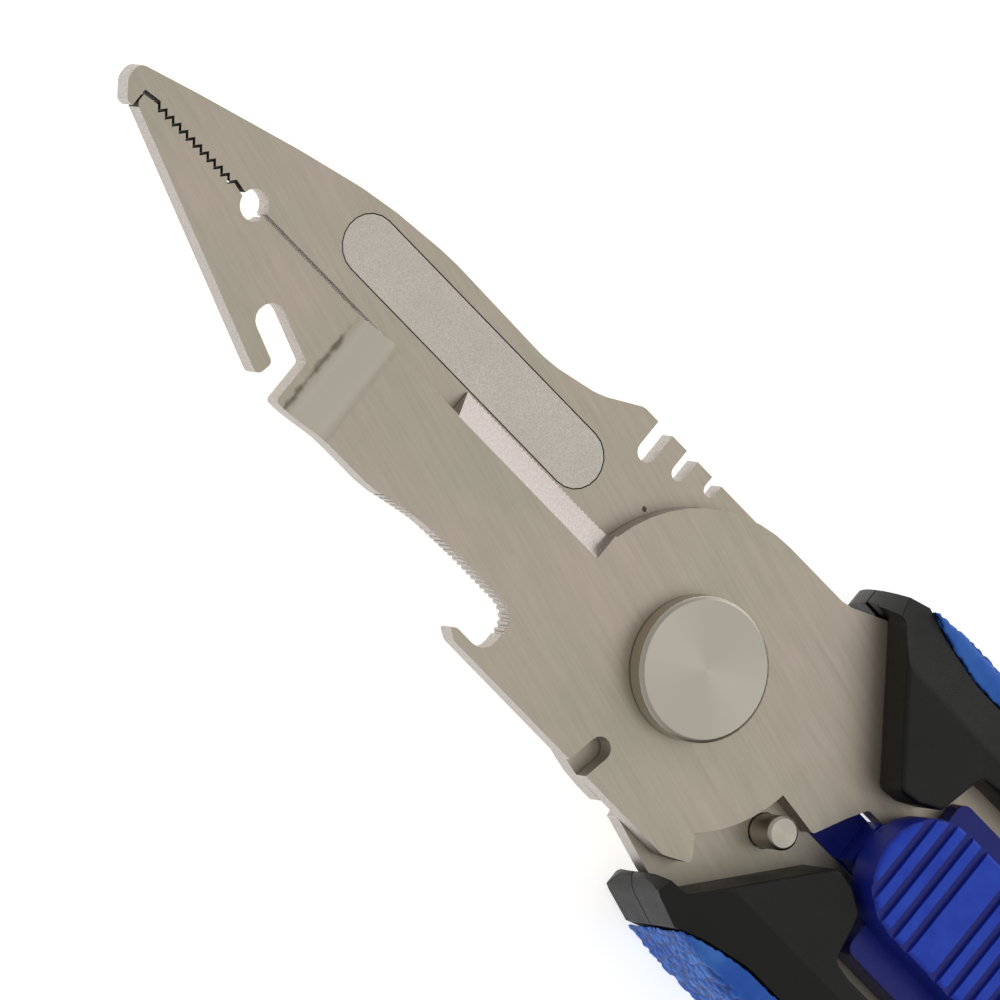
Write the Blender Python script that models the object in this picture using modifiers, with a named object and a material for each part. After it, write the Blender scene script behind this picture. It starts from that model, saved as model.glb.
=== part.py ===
"""Fishing pliers: two crossed steel plates that turn on one pivot, a clamshell handle on each tang, a sliding
lock and a return spring.

Sizes are millimetres. The pliers are modelled about their pivot axis, with +Y to the nose, +X to the upper
handle's side and +Z to the front. Z = 0 of the model is the shear plane, where the two plates meet. The whole
model is then raised, so that the world's origin is the centre of the pivot nut's flat outer face.
"""

import math

import bmesh
import bpy
from mathutils import Matrix

MM = 0.001

# Overall
JAW_LENGTH = 79.5  # pivot axis to the nose
HANDLE_LENGTH = 110.0  # pivot axis to the handles' ends
PLATE = 2.0  # thickness of each steel plate
HANDLE_HALF = 6.4  # shear plane to a handle's front or back face
OPENING = 23.0  # degrees that the upper arm turns, from closed to the stop

# Clearances
PLATE_GAP = 0.1  # between the plates on the shear plane
SEAT = 0.1  # between pieces that are clamped or pressed together
PRESS_GAP = 0.05  # round a screw or a pin that bites into the slider
RUNNING = 0.08  # round a turning shaft
SLIDING = 0.15  # round a piece that slides

# Jaws
JAW_ROOT_Y = 29.4
SEAM_X = 1.3
SEAM_GAP = 0.4
NOSE_HOOK = 2.1  # the rear jaw's tip laps over the front jaw's by this much
TEETH = 11
TOOTH_PITCH = 0.97
TOOTH_DEPTH = 0.55
TEETH_FROM_NOSE = 4.0
CRIMP_R = 1.5
CRIMP_FROM_NOSE = 17.6
JOGGLE_START = 42.3  # the front plate steps back into the rear plate's plane here
JOGGLE_LENGTH = 4.9
JOGGLE_STEPS = 6

# Line notch in the front jaw, parallel to that jaw's outer edge
FINGER = 1.95
LINE_NOTCH = 3.1
LINE_NOTCH_DEPTH = 5.3

# Braid scissors
BLADE_TOP_Y = 34.0
BLADE_REACH = 3.4  # the cutting edge, past the pivot's centre line
BLADE_BACK = 0.6  # where the bevel meets the plate's outer face
BLADE_LAND = 0.15

# Body of the plates
DISC_R = 14.6
SHOULDER_Y = 48.1
OPENER_FLOOR_Y = 17.1
OPENER_LIP_X = 13.5
SIDE_CUTTER_W = 2.3
SIDE_CUTTER_DEPTH = 3.7
SIDE_CUTTER_DEG = 169.0
CRIMP_SLOTS = ((16.3, 2.0, 3.8), (12.5, 1.5, 2.8), (9.0, 1.3, 1.7))  # height, width, depth

# Hook hone, let into the rear jaw
HONE_W = 5.9
HONE_X = 6.55
HONE_LOW_Y = 18.5
HONE_HIGH_Y = 53.5
HONE_DEPTH = 1.2

# Pivot
HEAD_R = 6.75
HEAD_H = 2.1
SHAFT_R = 4.0
THREAD_R = 2.5
NUT_H = 1.9
NUT_CAP = 0.6
CHAMFER = 0.35

# Stop pin, fixed in the rear plate
STOP_R = 1.6
STOP_ORBIT = 17.45
STOP_DEG = 252.0
STOP_H = 3.8
STOP_OVERTRAVEL = 3.7

# Tangs
TANG_GAP = 2.5  # centre line to a tang's inner edge, between the handles
TANG_INNER = 12.4
TANG_OUTER = 16.6
TANG_SHORT = 30.0  # the tangs end this far before the handles do
COLLAR_X = 16.6
COLLAR_Y = -12.0

# Handles
CHANNEL_X = 11.4  # inner wall beside the slider
BACK_CHANNEL_X = 10.4  # inner wall at the handles' ends
LOBE_X = 4.7
LOBE_Y = -22.0
GRIP_X = 17.2  # where the black shell meets the grip
GRIP_SKIN = 1.7
GRIP_BELOW_FACET = 0.05
GRIP_OVER_KEEL = 1.35
GRIP_ROUND = 1.5
GRIP_ROUND_STEPS = 3
GRIP_SHARP = 3.5  # each end of the grip keeps a sharp edge for this length
FACET_X = 13.4
FACET_DROP = 1.1
RIM = 0.45
RIM_STEPS = 2
COLLAR_DOME_R = 13.0  # the collars' ends are crowned from front to back
COLLAR_DOME_ARC = (140, 40)  # degrees
COLLAR_DOME_STEPS = 20
COLLAR_TOPS = {"upper": -10.2, "lower": -8.8}
COLLAR_CLEAR = 5.0  # the crown's cutter passes the collar by this much on each side

# Handle screws
SCREW_X = 14.5
SCREW_R = 1.1
SCREW_HEAD_R = 2.1
SCREW_HEAD_H = 1.6
SCREW_SUNK = 0.3
SCREW_TIP_WALL = 1.8
SCREW_FROM_TANG_END = 18.0  # the middle screw goes through the tang

# Lock slider
TRAVEL = 6.0
TONGUE_TIP_Y = -19.0
PAD_HALF = 6.2
PAD_FRONT_Y = -23.5
PAD_LENGTH = 21.5
PAD_TOP = 8.0
BASE_HALF = 9.0
BASE_FRONT_Y = -28.5
BASE_H = 2.0
GROOVES = 4
GROOVE_PITCH = 2.0
GROOVE_W = 0.95
GROOVE_DEPTH = 0.5
GROOVE_GROUPS = (-25.5, -35.6)  # first groove of each group
BOSS_X = 6.2
BOSS_R = 1.5
BOSS_Y = (-32.0, -39.0)
RETAINER = 1.2
SLIDER_SCREW_R = 0.8
SLIDER_HEAD_R = 1.5
SLIDER_HEAD_H = 0.8

# Lock pin, which drops behind a tooth of the front tang
LOCK_R = 0.8
LOCK_TOOTH = 0.9
LOCK_Y = -41.5
LOCK_TOOTH_PAST = 1.3
LOCK_HEAD = 1.0

# Return spring
WIRE_R = 0.75
COIL_R = 4.2
COIL_Y = -60.0
COIL_HALF = 1.9
LEG_DEG = 11.0
LEG_TIP_FROM_END = 22.0
LEG_HOOK = 3.0
SPRING_STEPS = 20

# Worked out from the sizes above
FRONT_LOW = PLATE_GAP / 2
FRONT_HIGH = FRONT_LOW + PLATE
NUT_FACE = FRONT_HIGH + SEAT + NUT_H
JOGGLE_DROP = PLATE + PLATE_GAP
TANG_END = -(HANDLE_LENGTH - TANG_SHORT)
GRIP_HALF = HANDLE_HALF - FACET_DROP - GRIP_BELOW_FACET
KEEL_HALF = GRIP_HALF - GRIP_OVER_KEEL
BASE_LOW = FRONT_HIGH + SLIDING
BASE_HIGH = BASE_LOW + BASE_H
PAD_BACK_Y = PAD_FRONT_Y - PAD_LENGTH
LOCK_X = TANG_GAP + LOCK_TOOTH + SLIDING + LOCK_R
LOCK_END_Y = LOCK_Y - LOCK_R - LOCK_TOOTH_PAST
GUIDE_END_Y = BOSS_Y[1] - TRAVEL - BOSS_R - SLIDING
SLOTTED_END_Y = GUIDE_END_Y - 3.0
SCREW_YS = (LOBE_Y - 2.5, TANG_END + SCREW_FROM_TANG_END, -(HANDLE_LENGTH - 12.0))
LEG_TIP_Y = -(HANDLE_LENGTH - LEG_TIP_FROM_END)

CLOSE = 0.001  # millimetres
STRAIGHT = 0.01  # radians


def new_collection(name):
    collection = bpy.data.collections.new(name)
    bpy.context.scene.collection.children.link(collection)
    return collection


def empty(name, location=(0, 0, 0), turn_y=0.0, parent=None):
    """A frame that pieces hang from, with its place in millimetres."""
    frame = bpy.data.objects.new(name, None)
    frame.location = [value * MM for value in location]
    frame.rotation_euler = (0, turn_y, 0)
    frame.parent = parent
    PARTS.objects.link(frame)
    return frame


def material(name, colour, roughness, metallic=0.0):
    made = bpy.data.materials.new(name)
    made.use_nodes = True
    shader = made.node_tree.nodes["Principled BSDF"]
    shader.inputs["Base Color"].default_value = (*colour, 1.0)
    shader.inputs["Roughness"].default_value = roughness
    shader.inputs["Metallic"].default_value = metallic
    made.diffuse_color = (*colour, 1.0)
    return made


# Outlines


def polar(radius, degrees):
    angle = math.radians(degrees)
    return radius * math.cos(angle), radius * math.sin(angle)


def arc(centre, radius, start, end, steps):
    """Points on a circle, from one angle in degrees to another."""
    points = []
    for i in range(steps + 1):
        x, y = polar(radius, start + (end - start) * i / steps)
        points.append((centre[0] + x, centre[1] + y))
    return points


def rounded(corners):
    """A closed outline in which each corner given as (x, y, radius) becomes an arc, limited by its edges."""
    points = []
    for i, corner in enumerate(corners):
        x, y = corner[:2]
        if len(corner) == 2:
            points.append((x, y))
            continue
        before = corners[i - 1]
        after = corners[(i + 1) % len(corners)]
        back = math.hypot(before[0] - x, before[1] - y)
        on = math.hypot(after[0] - x, after[1] - y)
        to_before = ((before[0] - x) / back, (before[1] - y) / back)
        to_after = ((after[0] - x) / on, (after[1] - y) / on)
        inside = math.acos(max(-1.0, min(1.0, to_before[0] * to_after[0] + to_before[1] * to_after[1])))
        if math.pi - inside < STRAIGHT:
            points.append((x, y))
            continue
        reach = min(corner[2] / math.tan(inside / 2), 0.45 * back, 0.45 * on)
        radius = reach * math.tan(inside / 2)
        middle = (to_before[0] + to_after[0], to_before[1] + to_after[1])
        scale = math.hypot(reach, radius) / math.hypot(*middle)
        centre = (x + middle[0] * scale, y + middle[1] * scale)
        start = math.atan2(y + to_before[1] * reach - centre[1], x + to_before[0] * reach - centre[0])
        end = math.atan2(y + to_after[1] * reach - centre[1], x + to_after[0] * reach - centre[0])
        sweep = (end - start + math.pi) % (2 * math.pi) - math.pi
        steps = max(1, round(abs(sweep) / math.radians(22)))
        points += arc(centre, radius, math.degrees(start), math.degrees(start + sweep), steps)
    return points


def circle(x, y, radius, steps=24):
    return arc((x, y), radius, 0, 360 - 360 / steps, steps - 1)


def stadium(x, low, high, width, steps=10):
    """An upright slot with round ends, between two heights."""
    radius = width / 2
    top = arc((x, high - radius), radius, 0, 180, steps)
    bottom = arc((x, low + radius), radius, 180, 360, steps)
    return top + bottom


# Solids


def keep(obj, collection, frame, looks):
    collection.objects.link(obj)
    obj.parent = frame
    if looks:
        obj.data.materials.append(looks)
    else:
        obj.hide_render = True
        obj.display_type = "WIRE"
    return obj


def slab(name, outlines, low, high, frame, looks=None):
    """A flat piece between two heights. The first outline is its edge, the rest are holes."""
    curve = bpy.data.curves.new(name, "CURVE")
    curve.dimensions = "2D"
    curve.fill_mode = "BOTH"
    curve.extrude = (high - low) / 2 * MM
    for outline in outlines:
        spline = curve.splines.new("POLY")
        spline.points.add(len(outline) - 1)
        for point, (x, y) in zip(spline.points, outline):
            point.co = (x * MM, y * MM, 0, 1)
        spline.use_cyclic_u = True
    guide = bpy.data.objects.new(name + "_outline", curve)
    bpy.context.scene.collection.objects.link(guide)
    bpy.context.view_layer.update()
    mesh = bpy.data.meshes.new_from_object(guide.evaluated_get(bpy.context.evaluated_depsgraph_get()))
    bpy.data.objects.remove(guide)
    shape = bmesh.new()
    shape.from_mesh(mesh)
    bmesh.ops.remove_doubles(shape, verts=shape.verts, dist=CLOSE * MM)
    bmesh.ops.translate(shape, verts=shape.verts, vec=(0, 0, (low + high) / 2 * MM))
    bmesh.ops.recalc_face_normals(shape, faces=shape.faces)
    shape.to_mesh(mesh)
    shape.free()
    mesh.name = name
    return keep(bpy.data.objects.new(name, mesh), PARTS if looks else CUTTERS, frame, looks)


def turned(name, profile, frame, looks=None, x=0.0, y=0.0, steps=32):
    """A round piece about a vertical line. The profile is (radius, height) points, top first."""
    mesh = bpy.data.meshes.new(name)
    shape = bmesh.new()
    verts = [shape.verts.new((radius * MM, 0, height * MM)) for radius, height in profile]
    for one, other in zip(verts, verts[1:]):
        shape.edges.new((one, other))
    shape.to_mesh(mesh)
    shape.free()
    obj = bpy.data.objects.new(name, mesh)
    obj.location = (x * MM, y * MM, 0)
    screw = obj.modifiers.new("Turn", "SCREW")
    screw.steps = steps
    screw.render_steps = steps
    screw.use_merge_vertices = True
    screw.merge_threshold = CLOSE * MM
    return keep(obj, PARTS if looks else CUTTERS, frame, looks)


def rod(name, radius, low, high, frame, looks=None, x=0.0, y=0.0, steps=24):
    return turned(name, [(0, high), (radius, high), (radius, low), (0, low)], frame, looks, x, y, steps)


def box(name, low, high, frame, turn=Matrix.Identity(4), looks=None):
    """A block between two corners, turned as a whole."""
    mesh = bpy.data.meshes.new(name)
    shape = bmesh.new()
    bmesh.ops.create_cube(shape, size=1.0)
    for vert in shape.verts:
        for axis in range(3):
            vert.co[axis] = (low[axis] if vert.co[axis] < 0 else high[axis]) * MM
    bmesh.ops.transform(shape, verts=shape.verts, matrix=turn)
    shape.to_mesh(mesh)
    shape.free()
    return keep(bpy.data.objects.new(name, mesh), PARTS if looks else CUTTERS, frame, looks)


def combine(obj, operation, *others):
    for other in others:
        boolean = obj.modifiers.new(other.name, "BOOLEAN")
        boolean.operation = operation
        boolean.object = other
    return obj


def soften_edges(obj, wanted, width, steps):
    """Bevels the edges whose two ends both pass a test on their place in millimetres."""
    shape = bmesh.new()
    shape.from_mesh(obj.data)
    bmesh.ops.dissolve_limit(shape, angle_limit=STRAIGHT, verts=shape.verts, edges=shape.edges)
    edges = [edge for edge in shape.edges if all(wanted(*(vert.co / MM)) for vert in edge.verts)]
    sharp = [edge for edge in edges if len(edge.link_faces) == 2 and edge.calc_face_angle() > 0.8]
    bmesh.ops.bevel(shape, geom=sharp, offset=width * MM, segments=steps, profile=0.5, affect="EDGES")
    shape.to_mesh(obj.data)
    shape.free()


# Plates


def jaw_y(share):
    """A height on a jaw, as a share of the way from its root to the nose."""
    return JAW_ROOT_Y + share * (JAW_LENGTH - JAW_ROOT_Y)


def seam_edge(side):
    """One jaw's edge on the seam, from the nose down: meshing teeth, then half the crimping hole."""
    x = SEAM_X + side * SEAM_GAP / 2
    points = []
    for i in range(2 * TEETH + 1):
        lean = TOOTH_DEPTH / 2 * (-1) ** i
        points.append((x + lean, JAW_LENGTH - TEETH_FROM_NOSE - i * TOOTH_PITCH / 2))
    reach = math.degrees(math.acos(SEAM_GAP / 2 / CRIMP_R))
    start, end = (reach, -reach) if side > 0 else (180 - reach, 180 + reach)
    return points + arc((SEAM_X, JAW_LENGTH - CRIMP_FROM_NOSE), CRIMP_R, start, end, 12)


def disc_angle(x):
    return math.degrees(math.acos(x / DISC_R))


def rear_outline():
    seam_x = SEAM_X + SEAM_GAP / 2
    under_y = JOGGLE_START - 0.8  # the rear plate reaches under the front plate up to here
    blade_deg = disc_angle(-BLADE_REACH)
    return rounded([
        (-0.4, JAW_LENGTH - NOSE_HOOK),
        (seam_x, JAW_LENGTH - NOSE_HOOK),
        *seam_edge(1),
        (seam_x, under_y),
        (-0.5, under_y),
        (-0.5, BLADE_TOP_Y),
        (-BLADE_REACH, BLADE_TOP_Y),
        *arc((0, 0), DISC_R, blade_deg, 180, 10),
        (-DISC_R, -4.6),
        (-16.0, -9.7, 2.0),
        (-COLLAR_X, COLLAR_Y - 0.5),
        (-TANG_OUTER, COLLAR_Y - 6.0, 2.0),
        (-TANG_OUTER, TANG_END, 2.0),
        (-TANG_INNER, TANG_END, 2.0),
        (-TANG_INNER, SLOTTED_END_Y, 1.0),
        (-TANG_GAP, SLOTTED_END_Y, 0.8),
        (-TANG_GAP, TONGUE_TIP_Y + 1.8, 0.6),
        (TANG_GAP, TONGUE_TIP_Y + 1.8, 0.6),
        *arc((0, 0), STOP_ORBIT + 0.9, -82, -42, 5),
        (DISC_R, 0.0),
        (DISC_R, 19.3, 1.0),
        (12.3, 23.5, 5.0),
        (11.0, JAW_ROOT_Y, 9.0),
        (11.1, jaw_y(0.14), 9.0),
        (11.2, jaw_y(0.285), 20.0),
        (10.3, jaw_y(0.465), 30.0),
        (8.0, jaw_y(0.65), 30.0),
        (4.85, jaw_y(0.872), 20.0),
        (2.9, JAW_LENGTH, 1.2),
        (1.2, JAW_LENGTH, 1.0),
        (-0.45, JAW_LENGTH - 1.4, 0.5),
    ])


def line_notch(base, nose):
    """The notch that lets line into the front jaw, on the outer edge between base and nose."""
    length = math.hypot(nose[0] - base[0], nose[1] - base[1])
    along = ((nose[0] - base[0]) / length, (nose[1] - base[1]) / length)

    def place(up, inward, radius):
        x = base[0] + along[0] * up + along[1] * inward
        y = base[1] + along[1] * up - along[0] * inward
        return x, y, radius

    far = FINGER + LINE_NOTCH
    down = (SHOULDER_Y - base[1] + along[0] * far) / along[1]
    return [
        place(-0.1, 0.0, 0.6),
        place(0.2, FINGER, 0.6),
        place(LINE_NOTCH_DEPTH, FINGER, LINE_NOTCH / 2 - 0.05),
        place(LINE_NOTCH_DEPTH, far, LINE_NOTCH / 2 - 0.05),
        place(down, far, 0.4),
    ]


def front_outline():
    seam_x = SEAM_X - SEAM_GAP / 2
    nose = (-0.1, JAW_LENGTH - NOSE_HOOK - 0.6)
    tip_y = JAW_LENGTH - NOSE_HOOK - 0.2
    notch_r = STOP_ORBIT - STOP_R - 0.75
    pin_deg = math.degrees(math.asin(STOP_R / STOP_ORBIT))
    open_deg = STOP_DEG - OPENING - pin_deg - 0.3
    shut_deg = STOP_DEG + pin_deg + STOP_OVERTRAVEL
    slot_low = LOCK_X - LOCK_R - SLIDING
    slot_high = LOCK_X + LOCK_R + SLIDING
    return rounded([
        (seam_x, tip_y),
        (nose[0] + 0.4, tip_y, 0.3),
        nose,
        *line_notch((-9.8, SHOULDER_Y + 3.1), nose),
        (-10.2, SHOULDER_Y, 0.4),
        (-10.1, 36.4, 8.0),
        (-8.9, 30.5, 8.0),
        (-8.7, 25.0),
        (-8.75, OPENER_FLOOR_Y, 2.0),
        (-OPENER_LIP_X, OPENER_FLOOR_Y, 2.0),
        (-OPENER_LIP_X, 20.9, 0.5),
        (-OPENER_LIP_X - 0.4, 21.6, 0.4),
        (-DISC_R, 20.4, 0.8),
        (-DISC_R, -9.2, 1.0),
        (*polar(notch_r + 2.8, open_deg - 0.8), 0.5),
        *arc((0, 0), notch_r, open_deg, shut_deg, 8),
        (*polar(STOP_ORBIT + 2.45, shut_deg + 0.6), 0.4),
        (0.5, -21.4, 4.0),
        (TANG_GAP, -22.6, 0.5),
        (TANG_GAP, LOCK_END_Y, 0.3),
        (slot_low, LOCK_END_Y, 0.3),
        (slot_low, LOCK_Y + LOCK_R + SLIDING, 0.8),
        (slot_high, LOCK_Y + LOCK_R + SLIDING, 0.8),
        (slot_high, LOCK_END_Y, 0.3),
        (TANG_INNER, LOCK_END_Y - 1.5, 1.0),
        (TANG_INNER, TANG_END, 2.0),
        (TANG_OUTER, TANG_END, 2.0),
        (TANG_OUTER, COLLAR_Y - 6.0, 2.0),
        (COLLAR_X, COLLAR_Y - 0.5),
        (DISC_R, -8.0, 3.0),
        *arc((0, 0), DISC_R, 0, disc_angle(BLADE_REACH), 10),
        (BLADE_REACH, BLADE_TOP_Y),
        (0.7, BLADE_TOP_Y),
        (0.7, JOGGLE_START - 1.0, 2.0),
        (seam_x, JOGGLE_START + 1.0, 2.0),
        *reversed(seam_edge(-1)),
    ])


def bevel_blade(plate, frame):
    """Grinds the scissor bevel, from the plate's outer face down to the cutting edge on the shear plane."""
    low = FRONT_LOW + BLADE_LAND
    slope = math.atan2(FRONT_HIGH - low, BLADE_REACH - BLADE_BACK)
    place = Matrix.Translation((BLADE_BACK * MM, 0, FRONT_HIGH * MM)) @ Matrix.Rotation(slope, 4, "Y")
    foot_y = DISC_R - 0.2
    combine(plate, "DIFFERENCE", box(
        plate.name + "_bevel", (-2.0, foot_y, 0.0), (8.0, BLADE_TOP_Y, 6.0), frame, place
    ))


def side_cutter(plate, degrees, frame):
    """The notch on the disc's edge that shears wire against the other plate's notch."""
    name = plate.name + "_wire_notch"
    radius = SIDE_CUTTER_W / 2
    inner = DISC_R - SIDE_CUTTER_DEPTH + radius
    across = arc((inner, 0), radius, 90, 270, 8) + [(DISC_R + 3, -radius), (DISC_R + 3, radius)]
    angle = math.radians(degrees)
    cos, sin = math.cos(angle), math.sin(angle)
    turned_points = [(x * cos - y * sin, x * sin + y * cos) for x, y in across]
    combine(plate, "DIFFERENCE", slab(name, [turned_points], -PLATE * 2, PLATE * 2, frame))


def make_rear_plate(frame):
    holes = [
        circle(0, 0, SHAFT_R + RUNNING, 32),
        circle(*polar(STOP_ORBIT, STOP_DEG), STOP_R + SEAT),
        stadium(-BOSS_X, GUIDE_END_Y, BOSS_Y[0] + BOSS_R + SLIDING, 2 * (BOSS_R + SLIDING)),
    ]
    holes += [circle(-SCREW_X, y, SCREW_R + 0.25, 16) for y in SCREW_YS if y > TANG_END + 3.0]
    plate = slab("rear_plate", [rear_outline()] + holes, -FRONT_HIGH, -FRONT_LOW, frame, STEEL)
    back = empty("rear_blade_frame", turn_y=math.pi, parent=frame)
    bevel_blade(plate, back)
    side_cutter(plate, SIDE_CUTTER_DEG + OPENING, frame)
    for i, (y, width, depth) in enumerate(CRIMP_SLOTS):
        inner = DISC_R - depth + width / 2
        edge = arc((inner, y), width / 2, 90, 270, 8)
        edge += [(DISC_R + 2, y - width / 2), (DISC_R + 2, y + width / 2)]
        combine(plate, "DIFFERENCE", slab(f"edge_slot_{i + 1}", [edge], -PLATE * 2, PLATE, frame))
    recess = stadium(HONE_X, HONE_LOW_Y, HONE_HIGH_Y, HONE_W)
    combine(plate, "DIFFERENCE", slab("hone_recess", [recess], -FRONT_LOW - HONE_DEPTH, 1.0, frame))


def make_front_plate(frame):
    holes = [circle(0, 0, SHAFT_R + RUNNING, 32)]
    holes += [circle(SCREW_X, y, SCREW_R + 0.25, 16) for y in SCREW_YS if y > TANG_END + 3.0]
    plate = slab("front_plate", [front_outline()] + holes, FRONT_LOW, FRONT_HIGH, frame, STEEL)
    shape = bmesh.new()
    shape.from_mesh(plate.data)
    for i in range(JOGGLE_STEPS + 1):
        y = JOGGLE_START + JOGGLE_LENGTH * i / JOGGLE_STEPS
        bmesh.ops.bisect_plane(
            shape, geom=shape.verts[:] + shape.edges[:] + shape.faces[:],
            plane_co=(0, y * MM, 0), plane_no=(0, 1, 0), dist=CLOSE * MM,
        )
    for vert in shape.verts:
        share = min(1.0, max(0.0, (vert.co.y / MM - JOGGLE_START) / JOGGLE_LENGTH))
        vert.co.z -= JOGGLE_DROP * share * share * (3 - 2 * share) * MM
    bmesh.ops.triangulate(shape, faces=shape.faces)
    shape.to_mesh(plate.data)
    shape.free()
    bevel_blade(plate, frame)
    side_cutter(plate, SIDE_CUTTER_DEG, frame)


def make_hone(frame):
    outline = stadium(HONE_X, HONE_LOW_Y + SEAT, HONE_HIGH_Y - SEAT, HONE_W - 2 * SEAT)
    slab("hook_hone", [outline], -FRONT_LOW - HONE_DEPTH + SEAT, -FRONT_LOW, frame, HONE)


def make_pivot(frame):
    top = FRONT_HIGH + SEAT + HEAD_H
    neck = -FRONT_HIGH
    tip = -NUT_FACE + NUT_CAP + SEAT
    turned("pivot_screw", [
        (0, top), (HEAD_R - CHAMFER, top), (HEAD_R, top - CHAMFER), (HEAD_R, FRONT_HIGH + SEAT),
        (SHAFT_R, FRONT_HIGH + SEAT), (SHAFT_R, neck), (THREAD_R, neck), (THREAD_R, tip), (0, tip),
    ], frame, BRIGHT, steps=48)
    bore = THREAD_R + SEAT
    turned("pivot_nut", [
        (0, -NUT_FACE + NUT_CAP), (bore, -NUT_FACE + NUT_CAP), (bore, -FRONT_HIGH - SEAT),
        (HEAD_R, -FRONT_HIGH - SEAT), (HEAD_R, -NUT_FACE + CHAMFER),
        (HEAD_R - CHAMFER, -NUT_FACE), (0, -NUT_FACE),
    ], frame, BRIGHT, steps=48)


def make_stop_pin(frame):
    x, y = polar(STOP_ORBIT, STOP_DEG)
    top = STOP_H - FRONT_LOW
    turned("stop_pin", [
        (0, top), (STOP_R - 0.25, top), (STOP_R, top - 0.25), (STOP_R, -FRONT_HIGH), (0, -FRONT_HIGH),
    ], frame, BRIGHT, x, y)


# Handles, modelled on the upper arm's side. The lower handle is the same one, turned half round the Y axis.


def grip_outer(inset=0.0):
    """The handle's outer edge along the grip, from the collar to the end."""
    end = -HANDLE_LENGTH
    return [
        (19.6 - inset, -14.4, 4.0),
        (20.3 - inset, -21.0, 12.0),
        (20.5 - inset, -45.0, 60.0),
        (19.9 - inset, (end - 50.0) / 2, 60.0),
        (20.2 - inset, end + 12.0, 20.0),
    ]


def grip_seam(gap=0.0):
    """The line on which the shell meets the grip, from the handle's end to the collar."""
    end = -HANDLE_LENGTH
    return [
        (19.9 + gap, end + 6.5 + gap),
        (17.6 + gap, end + 9.0 + gap, 3.0),
        (GRIP_X - 0.6 + gap, end + 16.0 + gap, 8.0),
        (GRIP_X + gap, -45.0, 60.0),
        (GRIP_X + gap, -21.5 - gap, 6.0),
        (18.3 + gap, -16.4 - gap, 3.0),
        (19.4 + gap, -13.5 - gap),
    ]


def shell_outline():
    end = -HANDLE_LENGTH
    return rounded([
        (COLLAR_X, COLLAR_Y, 0.8),
        (LOBE_X, LOBE_Y, 0.9),
        (LOBE_X + 0.3, LOBE_Y - 2.2, 1.0),
        (LOBE_X + 1.5, LOBE_Y - 4.5, 1.0),
        (CHANNEL_X - 0.3, LOBE_Y - 5.6, 1.0),
        (CHANNEL_X, LOBE_Y - 8.0),
        (CHANNEL_X, COIL_Y + 8.0, 60.0),
        (BACK_CHANNEL_X, end + 14.0, 30.0),
        (BACK_CHANNEL_X + 0.6, end, 4.0),
        (18.6, end, 4.0),
        *grip_seam(),
        (18.2, -9.6, 2.4),
        (16.8, -8.6, 0.7),
    ])


def keel_outline(gap=0.0):
    """The part of the shell that the grip wraps round."""
    end = -HANDLE_LENGTH
    inset = GRIP_SKIN + SEAT - gap
    outer = grip_outer(inset)
    return rounded([
        (GRIP_X - 1.5, -24.0 + gap, 0.5),
        (GRIP_X - 1.5, end + 19.0 - gap, 0.5),
        (outer[-1][0], end + 19.0 - gap, 1.0),
        outer[3],
        outer[2],
        (outer[1][0], -24.0 + gap, 1.0),
    ])


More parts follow.
